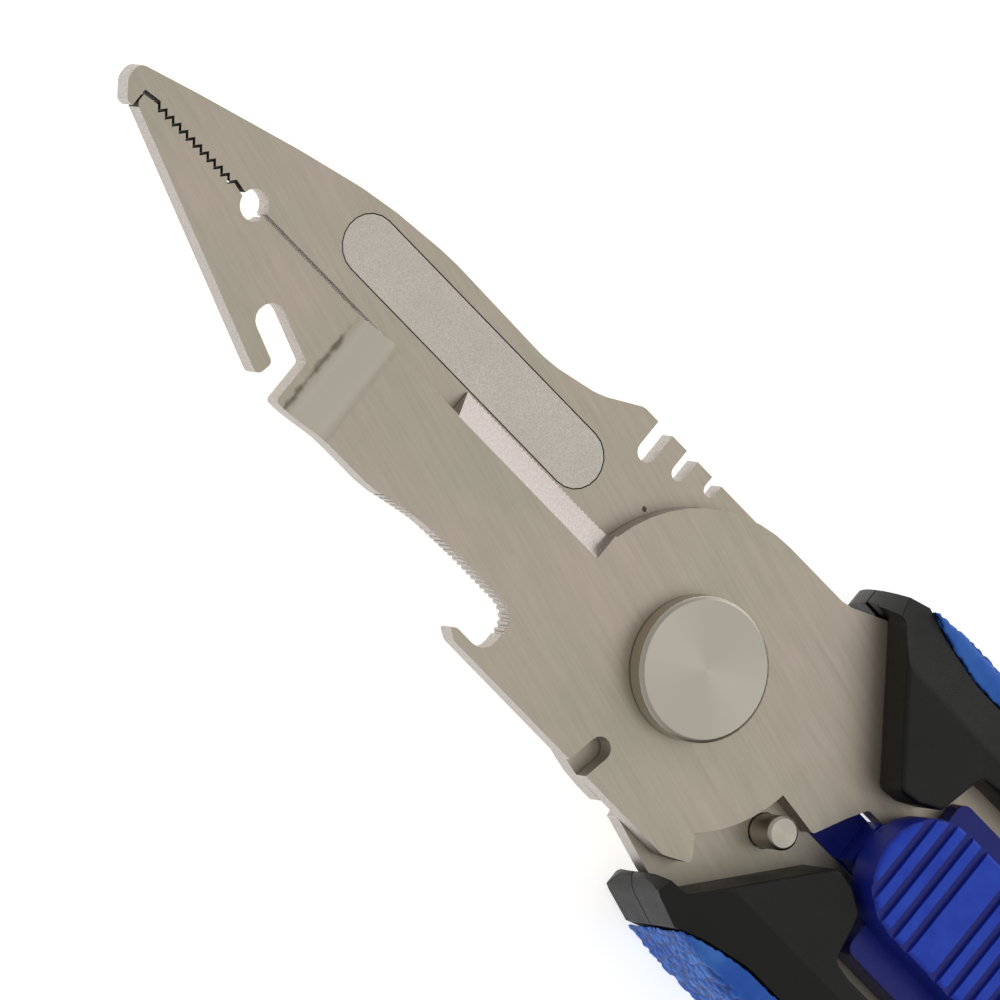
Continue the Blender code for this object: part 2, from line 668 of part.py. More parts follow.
def make_shell(name, side, frame, heads, collar_top):
    """One half of a handle: side is +1 on the tang and -1 off it, and heads is the screw heads' side."""
    def span(low, high):
        return (low, high) if side > 0 else (-high, -low)

    shell = slab(name, [shell_outline()], *span(FRONT_LOW, HANDLE_HALF), frame, SHELL)
    soften_edges(shell, lambda x, y, z: abs(z - side * HANDLE_HALF) < CLOSE, RIM, RIM_STEPS)
    slope = math.atan2(FACET_DROP, GRIP_X - FACET_X) * side
    place = Matrix.Translation((FACET_X * MM, 0, HANDLE_HALF * side * MM)) @ Matrix.Rotation(slope, 4, "Y")
    combine(shell, "DIFFERENCE", box(
        name + "_facet", (-1.0, -HANDLE_LENGTH - 5, span(0, 5)[0]), (15.0, 0.0, span(0, 5)[1]), frame, place
    ))
    crown = arc((0, collar_top - COLLAR_DOME_R), COLLAR_DOME_R, *COLLAR_DOME_ARC, COLLAR_DOME_STEPS)
    past = collar_top + COLLAR_CLEAR
    above = [(crown[-1][0], past), (crown[0][0], past)]
    over = slab(name + "_crown", [crown + above], COLLAR_X - COLLAR_CLEAR, GRIP_X + COLLAR_CLEAR, frame)
    over.rotation_euler = (0, math.pi / 2, 0)
    combine(shell, "DIFFERENCE", over)
    combine(shell, "UNION", slab(name + "_keel", [keel_outline()], *span(FRONT_LOW, KEEL_HALF), frame))
    if side > 0:
        pocket = rounded([
            (0.0, 0.0), (0.0, SLOTTED_END_Y - 1.0), (TANG_INNER - SEAT, SLOTTED_END_Y - 1.0),
            (TANG_INNER - SEAT, TANG_END - SEAT, 1.5), (TANG_OUTER + SEAT, TANG_END - SEAT, 1.5),
            (TANG_OUTER + SEAT, COLLAR_Y - 5.8), (COLLAR_X + 0.3, COLLAR_Y + 0.5), (COLLAR_X + 0.3, 0.0),
        ])
        combine(shell, "DIFFERENCE", slab(name + "_tang_pocket", [pocket], -1.0, FRONT_HIGH + SEAT, frame))
        seat = rod(name + "_spring_seat", WIRE_R + SLIDING, 0.0, LEG_HOOK + 4.0, frame, steps=12)
        seat.rotation_euler = (0, math.pi / 2, 0)
        seat.location = ((BACK_CHANNEL_X - 3.0) * MM, LEG_TIP_Y * MM, COIL_HALF * MM)
        combine(shell, "DIFFERENCE", seat)
    for i, y in enumerate(SCREW_YS):
        sunk = HANDLE_HALF - SCREW_SUNK - SCREW_HEAD_H - SEAT
        label = f"{name}_screw_{i + 1}"
        if side == heads:
            combine(shell, "DIFFERENCE", rod(
                label + "_seat", SCREW_HEAD_R + SEAT, *span(sunk, HANDLE_HALF + 1), frame,
                x=SCREW_X, y=y, steps=16,
            ))
            hole_end = sunk + 1.0
        else:
            hole_end = HANDLE_HALF - SCREW_TIP_WALL
        combine(shell, "DIFFERENCE", rod(
            label + "_hole", SCREW_R + SEAT, *span(-1.0, hole_end), frame, x=SCREW_X, y=y, steps=12
        ))


def make_grip(name, frame):
    outline = rounded([*grip_seam(SEAT), *grip_outer()])
    grip = slab(name, [outline], -GRIP_HALF, GRIP_HALF, frame, GRIP)
    front = grip_outer()[0][1] - GRIP_SHARP
    back = grip_outer()[-1][1] + GRIP_SHARP

    def outer_rim(x, y, z):
        return x > GRIP_X + 1.8 and back < y < front and abs(abs(z) - GRIP_HALF) < CLOSE

    soften_edges(grip, outer_rim, GRIP_ROUND, GRIP_ROUND_STEPS)
    half = KEEL_HALF + SEAT
    combine(grip, "DIFFERENCE", slab(name + "_keel_pocket", [keel_outline(SEAT)], -half, half, frame))


def make_screws(label, frame, heads):
    for i, y in enumerate(SCREW_YS):
        outer = HANDLE_HALF - SCREW_SUNK
        under = outer - SCREW_HEAD_H
        tip = -(HANDLE_HALF - SCREW_TIP_WALL - SEAT)
        levels = [
            (0, outer), (SCREW_HEAD_R - 0.3, outer), (SCREW_HEAD_R, outer - 0.4), (SCREW_HEAD_R, under),
            (SCREW_R, under), (SCREW_R, tip), (0, tip),
        ]
        if heads < 0:
            levels = [(radius, -height) for radius, height in reversed(levels)]
        turned(f"{label}_screw_{i + 1}", levels, frame, BRIGHT, SCREW_X, y, steps=16)


def make_handle(label, tang_half, other_half, frame, heads):
    make_shell(f"{label}_{tang_half}_shell", 1, frame, heads, COLLAR_TOPS[label])
    make_shell(f"{label}_{other_half}_shell", -1, frame, heads, COLLAR_TOPS[label])
    make_grip(label + "_grip", frame)
    make_screws(label, frame, heads)


# Lock


def make_slider(frame):
    base_back = PAD_BACK_Y + 1.0
    pad = rounded([
        (-PAD_HALF, PAD_BACK_Y, 1.5), (PAD_HALF, PAD_BACK_Y, 1.5),
        *arc((0, PAD_FRONT_Y - PAD_HALF), PAD_HALF, 0, 180, 12),
    ])
    slider = slab("lock_slider", [pad], BASE_HIGH - 0.5, PAD_TOP, frame, SLIDER)
    soften_edges(slider, lambda x, y, z: abs(z - PAD_TOP) < CLOSE, 0.7, 3)
    flange = rounded([
        (-BASE_HALF, base_back, 1.0), (BASE_HALF, base_back, 1.0),
        (BASE_HALF, BASE_FRONT_Y, 1.0), (-BASE_HALF, BASE_FRONT_Y, 1.0),
    ])
    foot = rounded([
        (-BASE_HALF + 0.2, base_back + 0.3, 1.0), (TANG_GAP - SLIDING, base_back + 0.3, 0.5),
        (TANG_GAP - SLIDING, BASE_FRONT_Y - 0.2, 0.5), (-BASE_HALF + 0.2, BASE_FRONT_Y - 0.2, 1.0),
    ])
    width = TANG_GAP - SLIDING
    tongue = rounded([
        (-width, base_back + 2.0), (width, base_back + 2.0),
        (width, TONGUE_TIP_Y, 0.6), (-width, TONGUE_TIP_Y, 0.6),
    ])
    neck = [
        (-width + 0.1, base_back + 2.2), (width - 0.1, base_back + 2.2),
        (width - 0.1, LOBE_Y - 2.0), (-width + 0.1, LOBE_Y - 2.0),
    ]
    combine(
        slider, "UNION",
        slab("slider_flange", [flange], BASE_LOW, BASE_HIGH, frame),
        slab("slider_foot", [foot], -FRONT_LOW + SLIDING, BASE_LOW + 0.5, frame),
        slab("slider_tongue", [tongue], -FRONT_HIGH + 0.05, -FRONT_LOW - SEAT, frame),
        slab("slider_neck", [neck], -FRONT_HIGH + 0.4, BASE_LOW + 0.4, frame),
        *[
            rod(f"slider_boss_{i + 1}", BOSS_R, -FRONT_HIGH, BASE_LOW, frame, x=-BOSS_X, y=y)
            for i, y in enumerate(BOSS_Y)
        ],
    )
    for first in GROOVE_GROUPS:
        for i in range(GROOVES):
            y = first - i * GROOVE_PITCH
            combine(slider, "DIFFERENCE", box(
                f"pad_groove_{abs(y):.0f}", (-PAD_HALF - 1, y - GROOVE_W / 2, PAD_TOP - GROOVE_DEPTH),
                (PAD_HALF + 1, y + GROOVE_W / 2, PAD_TOP + 1), frame,
            ))
    for i, y in enumerate(BOSS_Y):
        combine(slider, "DIFFERENCE", rod(
            f"boss_hole_{i + 1}", SLIDER_SCREW_R + PRESS_GAP, -FRONT_HIGH - 1, BASE_LOW, frame,
            x=-BOSS_X, y=y, steps=12,
        ))
    combine(slider, "DIFFERENCE", rod(
        "lock_pin_hole", LOCK_R + PRESS_GAP, BASE_LOW - 1, BASE_LOW + LOCK_HEAD + SEAT, frame,
        x=LOCK_X, y=LOCK_Y, steps=16,
    ))


def make_slider_fastenings(frame):
    high = -FRONT_HIGH - SLIDING
    low = high - RETAINER
    plate = rounded([
        (-BASE_HALF + 0.4, BOSS_Y[1] - 3.0, 1.2), (TANG_GAP - 0.3, BOSS_Y[1] - 3.0, 1.2),
        (TANG_GAP - 0.3, BOSS_Y[0] + 3.0, 1.2), (-BASE_HALF + 0.4, BOSS_Y[0] + 3.0, 1.2),
    ])
    holes = [circle(-BOSS_X, y, SLIDER_SCREW_R + SEAT, 12) for y in BOSS_Y]
    slab("slider_retainer", [plate] + holes, low, high, frame, BRIGHT)
    for i, y in enumerate(BOSS_Y):
        under = low - SEAT
        turned(f"slider_screw_{i + 1}", [
            (0, BASE_LOW - 0.3), (SLIDER_SCREW_R, BASE_LOW - 0.3),
            (SLIDER_SCREW_R, under), (SLIDER_HEAD_R, under),
            (SLIDER_HEAD_R, under - SLIDER_HEAD_H + 0.2), (SLIDER_HEAD_R - 0.2, under - SLIDER_HEAD_H),
            (0, under - SLIDER_HEAD_H),
        ], frame, BRIGHT, -BOSS_X, y, steps=16)
    turned("lock_pin", [
        (0, BASE_LOW + LOCK_HEAD), (LOCK_R, BASE_LOW + LOCK_HEAD), (LOCK_R, FRONT_LOW + 0.2),
        (LOCK_R - 0.2, FRONT_LOW), (0, FRONT_LOW),
    ], frame, BRIGHT, LOCK_X, LOCK_Y, steps=16)


def make_return_spring(frame):
    """A hairpin spring. Half of it is worked out, and turning that half round the Y axis gives the other."""
    half_turn = 450.0 - LEG_DEG
    end_x, end_y = polar(COIL_R, 90 - half_turn)
    hook_x = BACK_CHANNEL_X - WIRE_R - 0.5
    half = []
    for i in range(SPRING_STEPS + 1):
        share = i / SPRING_STEPS
        x, y = polar(COIL_R, 90 - half_turn * share)
        half.append((x, COIL_Y + y, COIL_HALF * share))
    half.append((hook_x, LEG_TIP_Y + 0.4, COIL_HALF))
    half.append((hook_x + 0.7, LEG_TIP_Y, COIL_HALF))
    half.append((hook_x + LEG_HOOK, LEG_TIP_Y, COIL_HALF))
    route = [(-x, y, -z) for x, y, z in reversed(half[1:])] + half
    curve = bpy.data.curves.new("return_spring", "CURVE")
    curve.dimensions = "3D"
    curve.bevel_depth = WIRE_R * MM
    curve.bevel_resolution = 2
    curve.use_fill_caps = True
    spline = curve.splines.new("POLY")
    spline.points.add(len(route) - 1)
    for point, (x, y, z) in zip(spline.points, route):
        point.co = (x * MM, y * MM, z * MM, 1)
    spring = bpy.data.objects.new("return_spring", curve)
    keep(spring, PARTS, frame, BRIGHT)


def shade(collection):
    for obj in collection.objects:
        if obj.type == "MESH":
            obj.data.shade_smooth()
            obj.data.set_sharp_from_angle(angle=math.radians(35))


for old in list(bpy.data.objects):
    bpy.data.objects.remove(old)

PARTS = new_collection("fishing_pliers")
CUTTERS = new_collection("cutters")
STEEL = material("satin_steel", (0.55, 0.53, 0.50), 0.38, 1.0)
BRIGHT = material("turned_steel", (0.65, 0.64, 0.62), 0.28, 1.0)
HONE = material("hone_grit", (0.42, 0.42, 0.42), 0.65, 0.6)
SHELL = material("black_nylon", (0.012, 0.012, 0.014), 0.45)
GRIP = material("blue_rubber", (0.02, 0.13, 0.45), 0.6)
SLIDER = material("blue_nylon", (0.01, 0.06, 0.42), 0.3)

whole = empty("pliers_frame", (0, 0, NUT_FACE))
lower_arm = empty("lower_arm", parent=whole)
upper_arm = empty("upper_arm_hinge", parent=whole)
lock = empty("lock_slide", parent=whole)
lower_handle = empty("lower_handle_frame", turn_y=math.pi, parent=lower_arm)

make_rear_plate(lower_arm)
make_front_plate(upper_arm)
make_hone(lower_arm)
make_pivot(lower_arm)
make_stop_pin(lower_arm)
make_handle("upper", "front", "back", upper_arm, heads=-1)
make_handle("lower", "back", "front", lower_handle, heads=1)
make_slider(lock)
make_slider_fastenings(lock)
make_return_spring(lower_arm)
shade(PARTS)
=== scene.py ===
import math

import bmesh
import bpy
from mathutils import Matrix, Vector


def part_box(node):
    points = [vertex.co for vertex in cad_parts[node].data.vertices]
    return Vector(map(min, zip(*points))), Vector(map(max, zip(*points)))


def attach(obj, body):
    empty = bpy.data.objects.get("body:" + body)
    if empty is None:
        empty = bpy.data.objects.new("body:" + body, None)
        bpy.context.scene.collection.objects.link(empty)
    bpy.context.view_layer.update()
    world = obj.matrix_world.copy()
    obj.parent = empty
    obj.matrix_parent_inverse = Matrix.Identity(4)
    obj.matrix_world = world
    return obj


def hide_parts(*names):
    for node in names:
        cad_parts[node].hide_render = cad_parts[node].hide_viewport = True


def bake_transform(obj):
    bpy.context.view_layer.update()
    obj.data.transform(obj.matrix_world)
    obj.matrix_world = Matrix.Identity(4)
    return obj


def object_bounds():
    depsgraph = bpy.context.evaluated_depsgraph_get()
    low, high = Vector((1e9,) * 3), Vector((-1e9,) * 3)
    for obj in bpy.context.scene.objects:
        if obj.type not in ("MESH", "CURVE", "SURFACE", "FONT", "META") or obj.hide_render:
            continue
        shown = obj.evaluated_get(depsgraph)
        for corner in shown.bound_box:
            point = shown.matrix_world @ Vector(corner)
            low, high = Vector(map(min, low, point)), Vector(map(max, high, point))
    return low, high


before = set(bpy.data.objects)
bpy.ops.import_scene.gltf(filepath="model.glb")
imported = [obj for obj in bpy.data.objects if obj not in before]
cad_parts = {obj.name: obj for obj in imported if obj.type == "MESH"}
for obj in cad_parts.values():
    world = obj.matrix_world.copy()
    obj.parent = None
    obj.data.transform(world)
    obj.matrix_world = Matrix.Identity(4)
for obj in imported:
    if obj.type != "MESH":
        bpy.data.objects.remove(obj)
cad_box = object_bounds()
MM = 0.001  # sizes below are millimetres, and Blender's unit is the metre

# The view: a long lens looks down on the tool as it lies on a white bench,
# nose to the upper left, so that its faces hardly narrow with distance.
LENS = 1200.0
SENSOR = 36.0
VIEW_WIDTH = 90.9
aim = Vector((-1.5, 24.7, 4.05)) * MM
towards_camera = Vector((-0.273, 0.389, 0.880)).normalized()
camera_up = Vector((0.748, 0.661, -0.060))
camera_side = camera_up.cross(towards_camera).normalized()
camera_up = towards_camera.cross(camera_side)
camera_data = bpy.data.cameras.new("bench_camera")
camera_data.lens = LENS
camera_data.sensor_width = SENSOR
camera_data.clip_start = 0.02
camera_data.clip_end = 20.0
camera = bpy.data.objects.new("bench_camera", camera_data)
bpy.context.scene.collection.objects.link(camera)
turn = Matrix((camera_side, camera_up, towards_camera)).transposed().to_4x4()
camera.matrix_world = Matrix.Translation(aim + towards_camera * LENS / SENSOR * VIEW_WIDTH * MM) @ turn
bpy.context.scene.camera = camera
bpy.context.scene.view_settings.view_transform = "Standard"


def linear(code):
    """An sRGB hex colour as the linear colour that a shader takes."""
    channels = [int(code[i:i + 2], 16) / 255 for i in (1, 3, 5)]
    return (*(c / 12.92 if c <= 0.04045 else ((c + 0.055) / 1.055) ** 2.4 for c in channels), 1.0)


def add(tree, kind, feeds=(), **settings):
    """Adds a node with its settings. Each socket in feeds gets a value, or a link from another node."""
    made = tree.nodes.new(kind)
    for name, value in settings.items():
        setattr(made, name, value)
    for socket, value in dict(feeds).items():
        if isinstance(value, bpy.types.NodeSocket):
            tree.links.new(value, made.inputs[socket])
        else:
            made.inputs[socket].default_value = value
    return made


# The bench and its light: a matt white sheet, an even white room, one broad lamp low on the
# tool's right, which brightens the ground bevel, and a softer one above the handles.
FLOOR_GAP = 0.15
floor_mesh = bpy.data.meshes.new("bench_sheet")
floor_z = cad_box[0].z - FLOOR_GAP * MM
floor_mesh.from_pydata([(x, y, floor_z) for x, y in ((-3, -3), (3, -3), (3, 3), (-3, 3))], [], [(0, 1, 2, 3)])
floor = bpy.data.objects.new("bench_sheet", floor_mesh)
bpy.context.scene.collection.objects.link(floor)
sheet_white = bpy.data.materials.new("matt_white_sheet")
sheet_white.use_nodes = True
sheet_shader = sheet_white.node_tree.nodes["Principled BSDF"]
sheet_shader.inputs["Base Color"].default_value = linear("#f4f4f4")
sheet_shader.inputs["Roughness"].default_value = 0.9
sheet_shader.inputs["Specular IOR Level"].default_value = 0.1
sheet_shader.inputs["Emission Color"].default_value = (1.0, 1.0, 1.0, 1.0)
sheet_shader.inputs["Emission Strength"].default_value = 0.7
floor_mesh.materials.append(sheet_white)

room = bpy.data.worlds.new("white_room")
room.use_nodes = True
room.node_tree.nodes["Background"].inputs["Color"].default_value = linear("#fdfbf8")
room.node_tree.nodes["Background"].inputs["Strength"].default_value = 0.42
bpy.context.scene.world = room
for name, place, width, power in (
    ("side_softbox", (1.45, -0.45, 0.55), 1.5, 4.6),
    ("overhead_softbox", (0.35, -0.70, 1.25), 1.2, 1.3),
):
    lamp_data = bpy.data.lights.new(name, "AREA")
    lamp_data.shape = "DISK"
    lamp_data.size = width
    lamp_data.energy = power
    lamp = bpy.data.objects.new(name, lamp_data)
    bpy.context.scene.collection.objects.link(lamp)
    lamp.location = place
    lamp.visible_camera = False
    lamp.rotation_euler = (-Vector(place)).to_track_quat("-Z", "Y").to_euler()

# The two jaw plates: 2 mm stainless sheet, blanked, stepped in a press and brushed lengthwise with a fine
# belt. Their cut edges are finely grained, and the scissor bevel is ground across its width afterwards.
PLATE_BREAK = 0.09
BRUSH_WIDTH = 0.11
BRUSH_LENGTH = 4.5
BRUSH_TILT = 14.0
CLOUD = 11.0
EDGE_GRAIN = 0.12
CROSS_GRIND = 0.16
PIT_PLACE = (7.8, 12.9)  # a small rust pit beside the pivot disc
PIT_INNER_R = 0.28
PIT_OUTER_R = 0.42
CREASE_Y = 47.0  # where the press turned the front plate back down to the rear one's level
CREASE_SHADE_HALF = 0.42
TEETH_X = (-0.6, 2.6)
TEETH_Y = (62.5, 77.6)
BLADE_Y = (14.0, 34.2)


def new_finish(name, colour, metallic, roughness):
    """A material with one Principled shader, its node tree and its Object coordinates."""
    made = bpy.data.materials.new(name)
    made.use_nodes = True
    tree = made.node_tree
    shader = tree.nodes["Principled BSDF"]
    shader.inputs["Base Color"].default_value = linear(colour)
    shader.inputs["Metallic"].default_value = metallic
    shader.inputs["Roughness"].default_value = roughness
    return made, tree, shader, add(tree, "ShaderNodeTexCoord").outputs["Object"]


def streaks(tree, place, across, along, tilt, detail=3.0):
    """Noise drawn out along one direction of the sheet: grinding or brushing marks."""
    laid = add(tree, "ShaderNodeMapping", {"Vector": place, "Rotation": (0.0, 0.0, math.radians(tilt))})
    drawn = add(tree, "ShaderNodeMapping", {
        "Vector": laid.outputs["Vector"],
        "Scale": (1 / (across * MM), 1 / (along * MM), 1 / (across * MM)),
    })
    return add(tree, "ShaderNodeTexNoise", {
        "Vector": drawn.outputs["Vector"], "Scale": 1.0, "Detail": detail,
    })


def grain(tree, place, size, detail=2.0, rough=0.5):
    """Even noise of one real grain size in millimetres."""
    return add(tree, "ShaderNodeTexNoise", {
        "Vector": place, "Scale": 1 / (size * MM), "Detail": detail, "Roughness": rough,
    })


def mix_colours(tree, share, first, second):
    """Mixes two colours, each a hex code or another mix's output, by a share."""
    made = add(tree, "ShaderNodeMix", data_type="RGBA")
    for socket, value in ((0, share), (6, first), (7, second)):
        if isinstance(value, str):
            made.inputs[socket].default_value = linear(value)
        elif isinstance(value, bpy.types.NodeSocket):
            tree.links.new(value, made.inputs[socket])
        else:
            made.inputs[socket].default_value = value
    return made.outputs[2]


def spread(tree, value, low, high, to_low, to_high):
    """Maps a noise's middle range to the range wanted."""
    return add(tree, "ShaderNodeMapRange", {
        "Value": value, "From Min": low, "From Max": high, "To Min": to_low, "To Max": to_high,
    }).outputs["Result"]


def relief(tree, shader, height, depth, strength=1.0):
    """Bumps a shader by a height whose full range is depth millimetres."""
    bump = add(tree, "ShaderNodeBump", {"Height": height, "Strength": strength, "Distance": depth * MM})
    tree.links.new(bump.outputs["Normal"], shader.inputs["Normal"])


# brushed stainless: warm grey, satin, with pinkish and greenish clouds where hands have been
brushed, tree, shader, place = new_finish("brushed_stainless_sheet", "#d0c7b6", 1.0, 0.42)
marks = streaks(tree, place, BRUSH_WIDTH, BRUSH_LENGTH, BRUSH_TILT).outputs["Fac"]
bands = streaks(tree, place, 0.7, 16.0, BRUSH_TILT, 2.0).outputs["Fac"]
clouds = grain(tree, place, CLOUD, 3.0).outputs["Fac"]
tone = mix_colours(tree, spread(tree, clouds, 0.38, 0.62, 0.0, 1.0), "#cdc6b4", "#d5c9ba")
tone = mix_colours(tree, spread(tree, bands, 0.4, 0.75, 0.0, 0.25), tone, "#b9b3a6")
tone = mix_colours(tree, spread(tree, marks, 0.45, 0.75, 0.0, 0.16), tone, "#a8a296")
flat = add(tree, "ShaderNodeVectorMath", {0: place, 1: (1.0, 1.0, 0.0)}, operation="MULTIPLY")
away = add(tree, "ShaderNodeVectorMath", {
    0: flat.outputs["Vector"], 1: (PIT_PLACE[0] * MM, PIT_PLACE[1] * MM, 0.0),
}, operation="DISTANCE")
rust = grain(tree, place, 0.3).outputs["Fac"]
ragged = add(tree, "ShaderNodeMath", {
    0: away.outputs["Value"], 1: spread(tree, rust, 0.3, 0.7, 0.0, 0.2 * MM),
}, operation="ADD")
pit = spread(tree, ragged.outputs["Value"], PIT_INNER_R * MM, PIT_OUTER_R * MM, 0.85, 0.0)
tone = mix_colours(tree, pit, tone, "#3d382f")
where = add(tree, "ShaderNodeSeparateXYZ", {0: place})
# painted highlight: faces that tilt along the plate's length, such as the joggle's slope, are painted paler
# than the flats
looks = add(tree, "ShaderNodeSeparateXYZ", {0: add(tree, "ShaderNodeTexCoord").outputs["Normal"]})
slope = add(tree, "ShaderNodeMath", {0: looks.outputs["Y"]}, operation="ABSOLUTE").outputs["Value"]
slope_painted_light = spread(tree, slope, 0.1, 0.4, 0.0, 1.0)
tone = mix_colours(tree, slope_painted_light, tone, "#f6efe0")
# painted shade: a ragged dark band along the joggle's crease, on the front plate's side, stands in for the
# shade in the crease
off_line = add(tree, "ShaderNodeMath", {0: where.outputs["Y"], 1: CREASE_Y * MM}, operation="SUBTRACT")
off_line = add(tree, "ShaderNodeMath", {0: off_line.outputs["Value"]}, operation="ABSOLUTE")
crease_shade_wobble = grain(tree, place, 1.1).outputs["Fac"]
unsure = add(tree, "ShaderNodeMath", {
    0: off_line.outputs["Value"], 1: spread(tree, crease_shade_wobble, 0.3, 0.7, -0.15 * MM, 0.3 * MM),
}, operation="ADD")
crease_painted_shade = spread(tree, unsure.outputs["Value"], 0.0, CREASE_SHADE_HALF * MM, 0.75, 0.0)
front_side = spread(tree, where.outputs["X"], -1.4 * MM, 0.2 * MM, 1.0, 0.0)
crease_painted_shade = add(tree, "ShaderNodeMath", {0: crease_painted_shade, 1: front_side}, operation="MULTIPLY").outputs["Value"]
tone = mix_colours(tree, crease_painted_shade, tone, "#6d6654")
tree.links.new(tone, shader.inputs["Base Color"])
tree.links.new(spread(tree, marks, 0.25, 0.75, 0.44, 0.52), shader.inputs["Roughness"])
relief(tree, shader, marks, 0.0015)

# blanked edge: sheared and tumbled, so paler than the faces, with a fine grain
blanked, tree, shader, place = new_finish("blanked_stainless_edge", "#b0aaa3", 1.0, 0.5)
pits = grain(tree, place, EDGE_GRAIN, 3.0, 0.65).outputs["Fac"]
tree.links.new(
    mix_colours(tree, spread(tree, pits, 0.35, 0.65, 0.0, 0.7), "#cfc9c4", "#aaa49f"),
    shader.inputs["Base Color"],
)
tree.links.new(spread(tree, pits, 0.3, 0.7, 0.4, 0.62), shader.inputs["Roughness"])
relief(tree, shader, pits, 0.02)

# ground bevel: bright and slightly pink, with the wheel's marks straight across it
ground, tree, shader, place = new_finish("ground_stainless_bevel", "#ccc5c1", 1.0, 0.34)
wheel = streaks(tree, place, CROSS_GRIND, 8.0, 76.0, 4.0).outputs["Fac"]
tree.links.new(
    mix_colours(tree, spread(tree, wheel, 0.3, 0.7, 0.0, 0.55), "#d6cdc9", "#a99d99"),
    shader.inputs["Base Color"],
)
relief(tree, shader, wheel, 0.006)


# teeth: their walls are painted dark and dull, as painted shade in the gaps between the teeth
teeth_shade, tree, shader, place = new_finish("painted_shade_tooth_walls", "#5a544b", 0.8, 0.62)
teeth_shade_speckle = grain(tree, place, 0.15).outputs["Fac"]
tree.links.new(
    mix_colours(tree, spread(tree, teeth_shade_speckle, 0.35, 0.65, 0.0, 1.0), "#2e2a26", "#4a453e"),
    shader.inputs["Base Color"],
)
relief(tree, shader, teeth_shade_speckle, 0.01)


def finished_copy(node, name, width, steps=2, sharpest=25.0, faces=None):
    """A whole mesh made from a CAD node, its flats joined and its sharp edges broken by a small rounding."""
    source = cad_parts[node]
    shape = bmesh.new()
    shape.from_mesh(source.data)
    for attribute in list(shape.loops.layers.float_vector):
        shape.loops.layers.float_vector.remove(attribute)
    bmesh.ops.remove_doubles(shape, verts=shape.verts, dist=0.0005 * MM)
    bmesh.ops.dissolve_degenerate(shape, edges=shape.edges, dist=0.001 * MM)
    bmesh.ops.dissolve_limit(
        shape, angle_limit=math.radians(0.4), verts=shape.verts, edges=shape.edges,
        use_dissolve_boundaries=False,
    )
    if faces:
        shape.normal_update()
        for face in shape.faces:
            face.material_index = faces(face)
    sharp = [e for e in shape.edges if e.is_manifold and e.calc_face_angle(0.0) > math.radians(sharpest)]
    if width:
        bmesh.ops.bevel(
            shape, geom=sharp, offset=width * MM, segments=steps, profile=0.5, affect="EDGES",
            clamp_overlap=True, loop_slide=True,
        )
    bmesh.ops.remove_doubles(shape, verts=shape.verts, dist=0.0002 * MM)
    mesh = bpy.data.meshes.new(name)
    for face in shape.faces:
        face.smooth = True
    shape.to_mesh(mesh)
    shape.free()
    mesh.set_sharp_from_angle(angle=math.radians(32))
    made = bpy.data.objects.new(name, mesh)
    bpy.context.scene.collection.objects.link(made)
    return made


def bake_modifiers(obj):
    """Turns an object's modifiers into its plain mesh."""
    graph = bpy.context.evaluated_depsgraph_get()
    baked = bpy.data.meshes.new_from_object(obj.evaluated_get(graph))
    obj.modifiers.clear()
    old = obj.data
    obj.data = baked
    bpy.data.meshes.remove(old)
    baked.name = obj.name


def weigh_normals(obj):
    """Keeps the flats flat beside their rounded edges."""
    modifier = obj.modifiers.new("flat_faces", "WEIGHTED_NORMAL")
    modifier.keep_sharp = True
    bake_modifiers(obj)


def seat(obj, body, slot, materials, *nodes):
    """Gives a finished piece its materials and its body, and hides the CAD nodes that it stands for. The slot
    is not used.
    """
    for each in materials:
        obj.data.materials.append(each)
    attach(obj, body)
    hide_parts(*nodes)


def plate_face(face):
    """Face, blanked edge, ground bevel or tooth wall painted dark as shade, by where the surface is and which
    way it looks.
    """
    facing = face.normal
    centre = face.calc_center_median() / MM
    if abs(facing.z) < 0.3:
        toothed = TEETH_X[0] < centre.x < TEETH_X[1] and TEETH_Y[0] < centre.y < TEETH_Y[1]
        return 3 if toothed else 1
    if facing.x > 0.4 and facing.z > 0.4 and BLADE_Y[0] < centre.y < BLADE_Y[1]:
        return 2
    return 0


# fine notches filed across an edge: one round-bottomed cut at each point of a line, all made by one tree
notches = bpy.data.node_groups.new("filed_notches", "GeometryNodeTree")
notches.interface.new_socket("Geometry", in_out="INPUT", socket_type="NodeSocketGeometry")
NOTCH_INPUTS = {
    label: notches.interface.new_socket(label, in_out="INPUT", socket_type="NodeSocketFloat").identifier
    for label in ("Pitch", "Notch radius", "Cut height")
}
notches.interface.new_socket("Geometry", in_out="OUTPUT", socket_type="NodeSocketGeometry")
came_in = add(notches, "NodeGroupInput")
line = add(notches, "GeometryNodeMeshToCurve", {"Mesh": came_in.outputs["Geometry"]})
stations = add(notches, "GeometryNodeResampleCurve", {
    "Curve": line.outputs["Curve"], "Length": came_in.outputs["Pitch"],
}, mode="LENGTH")
tooth = add(notches, "GeometryNodeMeshCylinder", {
    "Vertices": 8, "Radius": came_in.outputs["Notch radius"], "Depth": came_in.outputs["Cut height"],
})
laid = add(notches, "GeometryNodeInstanceOnPoints", {
    "Points": stations.outputs["Curve"], "Instance": tooth.outputs["Mesh"],
})
whole = add(notches, "GeometryNodeRealizeInstances", {"Geometry": laid.outputs["Instances"]})
painted = add(notches, "GeometryNodeSetMaterial", {
    "Geometry": whole.outputs["Geometry"], "Material": blanked,
})
add(notches, "NodeGroupOutput", {"Geometry": painted.outputs["Geometry"]})


